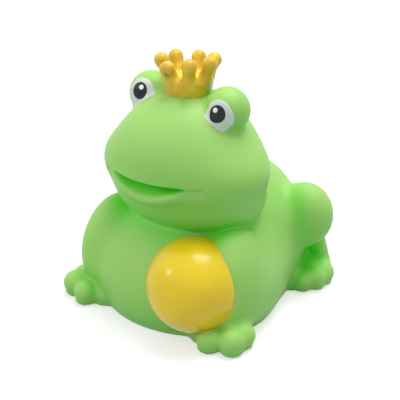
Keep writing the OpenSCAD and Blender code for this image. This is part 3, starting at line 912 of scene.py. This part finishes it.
def finish(name, dark, light, rough, fine=2200.0, broad=70.0, bump=0.02, ior=1.5, settings=()):
    """A Principled finish: mottled between dark and light, its gloss between two roughnesses, with a
    bump in mm. Returns (material, its coordinates, its colour so far, its shader)."""
    made, nodes, link = new_material(name)
    coordinates = add(nodes, "TexCoord")
    grain = add(nodes, "Group", node_tree=CAST_GRAIN)
    grain.inputs["Fine"].default_value, grain.inputs["Broad"].default_value = fine, broad
    tone = add(nodes, "Mix", {6: dark, 7: light}, data_type="RGBA")
    contrast, gloss = between(nodes, TONE_RANGE), between(nodes, GLOSS_RANGE, rough)
    lift = add(nodes, "Bump", {"Strength": 1.0, "Distance": bump * MM})
    shader = add(nodes, "BsdfPrincipled", {"IOR": ior, **dict(settings)})
    out = add(nodes, "OutputMaterial")
    link(coordinates.outputs["Object"], grain.inputs["Place"])
    link(grain.outputs["Mottle"], contrast.inputs["Value"])
    link(contrast.outputs["Result"], tone.inputs["Factor"])
    link(grain.outputs["Mottle"], gloss.inputs["Value"])
    link(grain.outputs["Height"], lift.inputs["Height"])
    link(tone.outputs[2], shader.inputs["Base Color"])
    link(gloss.outputs["Result"], shader.inputs["Roughness"])
    link(lift.outputs["Normal"], shader.inputs["Normal"])
    link(shader.outputs["BSDF"], out.inputs["Surface"])
    return made, coordinates, tone, shader


def overlay(made, under, colour, mask, shader):
    """Mix colour over what under puts out, by mask, on the way to the shader's Base Color."""
    nodes, link = made.node_tree.nodes, made.node_tree.links.new
    mix = add(nodes, "Mix", {7: colour}, data_type="RGBA")
    link(under.outputs[2], mix.inputs[6])
    link(mask, mix.inputs["Factor"])
    link(mix.outputs[2], shader.inputs["Base Color"])
    return mix


def spot(made, coordinates, middle, near, far, ragged):
    """A spray spot in a material, given in mm; returns its mask socket."""
    group = add(made.node_tree.nodes, "Group", node_tree=SPRAY_SPOT)
    group.inputs["Middle"].default_value = Vector(middle) * MM
    for name, value in (("Near", near), ("Far", far), ("Ragged", ragged)):
        group.inputs[name].default_value = value * MM
    made.node_tree.links.new(coordinates.outputs["Object"], group.inputs["Place"])
    return group.outputs["Mask"]


print("sRGB 128 is", round(srgb(128, 128, 128)[0], 3), "in linear light")

# %% [markdown]
# ## Green vinyl
#
# The skin is coloured right through, soft and satin. A little light gets under its surface and comes out
# nearby, which the shader's subsurface part does.
#
# What faces up is painted a paler green. This is painted light: it stands in for the overhead light that
# falls on the top. The direction that a spot faces is its Normal in the piece's own coordinates, and its Z
# part says how far up it looks.
#
# In a crease, light goes from wall to wall many times and comes back a deeper green. That would take
# many bounces to render, so the Ambient Occlusion node finds the creases and deepens the colour there.

# %% Green vinyl
TOP_LIGHT_FACING = (-0.5, 0.6)
CREASE_REACH, CREASE_SAMPLES = 25.0, 16
CREASE_OPEN, CREASE_DEEPEN = (0.9, 0.35), (0.0, 0.92)
green_vinyl, in_green, green_tone, green_shader = finish(
    "green_vinyl", srgb(128, 204, 86), srgb(136, 209, 94), (0.46, 0.54), ior=1.43, settings={
        "Subsurface Weight": 0.25, "Subsurface Radius": (1.0, 1.6, 0.5), "Subsurface Scale": 0.0022})
green_nodes, green_link = green_vinyl.node_tree.nodes, green_vinyl.node_tree.links.new
facing = add(green_nodes, "SeparateXYZ")
top_light_mask = between(green_nodes, TOP_LIGHT_FACING)
green_link(in_green.outputs["Normal"], facing.inputs[0])
green_link(facing.outputs["Z"], top_light_mask.inputs["Value"])
# painted light: a paler green on what faces up, where the overhead light falls
top_lit = overlay(green_vinyl, green_tone, srgb(156, 208, 107), top_light_mask.outputs["Result"], green_shader)
hollows = add(
    green_nodes, "AmbientOcclusion", {"Distance": CREASE_REACH * MM}, samples=CREASE_SAMPLES, only_local=True)
depth = between(green_nodes, CREASE_OPEN, CREASE_DEEPEN)
green_link(hollows.outputs["AO"], depth.inputs["Value"])
deepened = overlay(green_vinyl, top_lit, srgb(92, 224, 54), depth.outputs["Result"], green_shader)
vinyl.data.materials.append(green_vinyl)
print(green_vinyl.name, "has", len(green_nodes), "nodes")

# %% [markdown]
# ## Stray yellow on the arm
#
# The ball is sprayed through a mask that fits badly low down at the arm, so a little yellow lands on the
# vinyl there. Two spray spots make it: one about the spot that leaks, and one just outside the ball. One
# alone would be a blot or a whole ring, so the stray yellow shows only where both reach.

# %% Stray yellow
LEAK, LEAK_NEAR, LEAK_FAR, LEAK_RAGGED = place(29.0, -27.0, 9.0), 2.0, 13.0, 4.0
RIM_IN, RIM_OUT, RIM_RAGGED = -0.2, 1.3, 1.2
leak = spot(green_vinyl, in_green, LEAK, LEAK_NEAR, LEAK_FAR, LEAK_RAGGED)
by_ball = spot(green_vinyl, in_green, BALL, BALL_RADIUS + RIM_IN, BALL_RADIUS + RIM_OUT, RIM_RAGGED)
stray = add(green_nodes, "Math", operation="MULTIPLY")
green_link(leak, stray.inputs[0])
green_link(by_ball, stray.inputs[1])
overlay(green_vinyl, deepened, srgb(214, 206, 76), stray.outputs[0], green_shader)
print("stray yellow up to", RIM_OUT, "mm outside the ball")

# %% [markdown]
# ## Gold on the crown
#
# Gold-yellow paint covers the crown. It is sprayed from above, and misses a patch low on the frog's left,
# where green shows through. A small dark fleck sits under one tip. The dish between the posts gets a paler
# yellow, a painted highlight where the dish catches the light. Such patches could be painted on an
# unwrapped picture, but a spray spot only needs a place and two radii, and it stays put when the crown moves.

# %% Gold paint
FLECK = tips[0] + place(1.1, -1.9, -1.3)
gold_paint, in_gold, gold, gold_shader = finish(
    "gold_paint", srgb(210, 172, 40), srgb(236, 202, 52), (0.34, 0.44), broad=260.0, bump=0.05)
for colour, middle, near, far, ragged in (
        (srgb(150, 196, 84), place(7.3, 2.8, 1.0), 2.2, 5.6, 3.0),
        # painted highlight: a paler yellow in the dish between the posts, where it catches the light
        (srgb(244, 214, 70), DRUM_H * UP, 3.0, 7.0, 2.0),
        (srgb(150, 148, 84), FLECK, 0.3, 1.3, 1.0)):
    mask = spot(gold_paint, in_gold, CROWN_FOOT + middle, near, far, ragged)
    gold = overlay(gold_paint, gold, colour, mask, gold_shader)
crown.data.materials.append(gold_paint)
print(gold_paint.name, "has", len(gold_paint.node_tree.nodes), "nodes")

# %% [markdown]
# ## Paint on the ball and the eyes
#
# The ball has a glossier yellow, in which the soft boxes show. The eyes are sprayed last, in a bluish
# white and a dark slate. Even paint needs no patches, so these finishes differ only in their two tones,
# gloss and grain.

# %% Yellow, white and dark paint
yellow_paint = finish(
    "yellow_paint", srgb(228, 198, 24), srgb(235, 206, 34), (0.2, 0.28), broad=90.0, bump=0.01, ior=1.43)[0]
ball.data.materials.append(yellow_paint)
white_paint = finish("white_paint", srgb(198, 211, 200), srgb(206, 218, 208), (0.36, 0.44), broad=200.0)[0]
dark_paint = finish(
    "dark_paint", srgb(22, 32, 36), srgb(34, 45, 50), (0.26, 0.34), broad=400.0, ior=1.35)[0]
glint_paint = finish("glint_paint", srgb(240, 244, 243), srgb(248, 250, 249), (0.36, 0.44), broad=200.0)[0]
coats = {"white": white_paint, "pupil": dark_paint, "glint": glint_paint}
for node, piece in eye_pieces.items():
    piece.data.materials.append(coats[node.split("_")[-1]])
print("painted the ball, and", len(eye_pieces), "coats on the eyes")

# %% [markdown]
# ## The squeaker
#
# The squeaker's pieces are turned and moulded shapes that the CAD model already has, so they keep their
# meshes and only get a finish: hard off-white plastic, and a pale, glossy springy film for the reed.

# %% Squeaker finishes
hard_plastic = finish("hard_plastic", srgb(232, 229, 216), srgb(240, 237, 226), (0.3, 0.4), broad=150.0)[0]
reed_film = finish("reed_film", srgb(196, 208, 220), srgb(208, 219, 229), (0.16, 0.24), broad=300.0)[0]
for name in ("squeaker_housing", "reed_block", "reed_wedge", "squeaker_cap", "reed"):
    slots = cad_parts[name].data.materials
    slots.clear()
    slots.append(reed_film if name == "reed" else hard_plastic)
print("squeaker dressed")

# %% [markdown]
# ## What rides on what
#
# The soft skin gives way when the toy is squeezed, and the crown goes straight down. The skin, the ball and
# the coats on the eyes ride on the toy and take the places of their CAD parts, and the crown rides on its
# own.

# %% Ride and replace
soft = {"vinyl_skin": (vinyl, "green_vinyl"), "ball": (ball, "yellow_paint")}
for node, piece in eye_pieces.items():
    soft[node] = (piece, "black_paint" if node.endswith("pupil") else "white_paint")
for node, (piece, slot) in soft.items():
    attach(piece, "toy")
    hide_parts(node)
    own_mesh(piece)
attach(crown, "crown")
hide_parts("crown")
